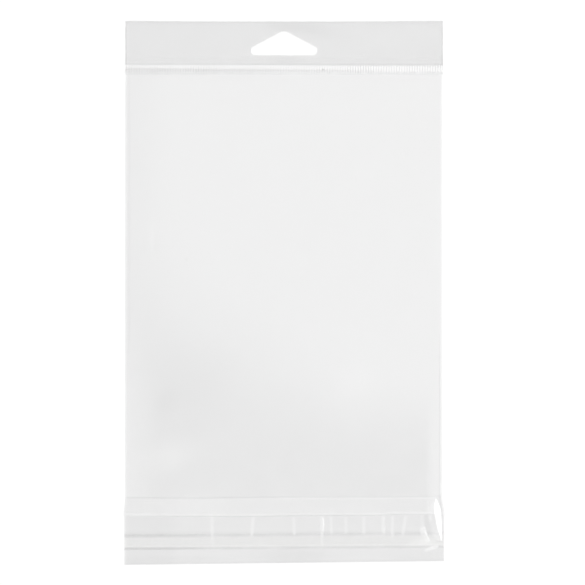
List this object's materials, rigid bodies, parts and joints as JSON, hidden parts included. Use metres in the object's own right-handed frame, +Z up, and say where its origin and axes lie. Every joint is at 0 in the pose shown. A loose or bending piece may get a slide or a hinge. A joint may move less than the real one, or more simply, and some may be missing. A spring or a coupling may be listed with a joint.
{
  "type": "resealable header bag",
  "caption": "Flat clear film bag: folded header strip with a triangular hang hole, ribbed crimp seal, open pocket with a hemmed lip, and a flap with a lined adhesive strip.",
  "frame": {"origin": "on the surface that the bag lies on, under the middle of its outline", "axes": "+Z up through the front panel, +Y towards the header and its hang hole, -Y towards the flap, X across the bag"},
  "size_m": [0.1396, 0.2372, 0.0075],
  "materials": {
    "pouch_film": "clear, glossy, unprinted polypropylene film",
    "header_film": "clear film, heavier than the pouch's and a little hazier",
    "adhesive": "clear pressure-sensitive tape, faintly hazy",
    "liner_film": "clear release liner, smooth"
  },
  "bodies": {
    "root": {"pouch_film": "pouch_film", "header_strip": "header_film", "adhesive_strip": "adhesive", "release_liner": "liner_film"}
  },
  "joints": []
}
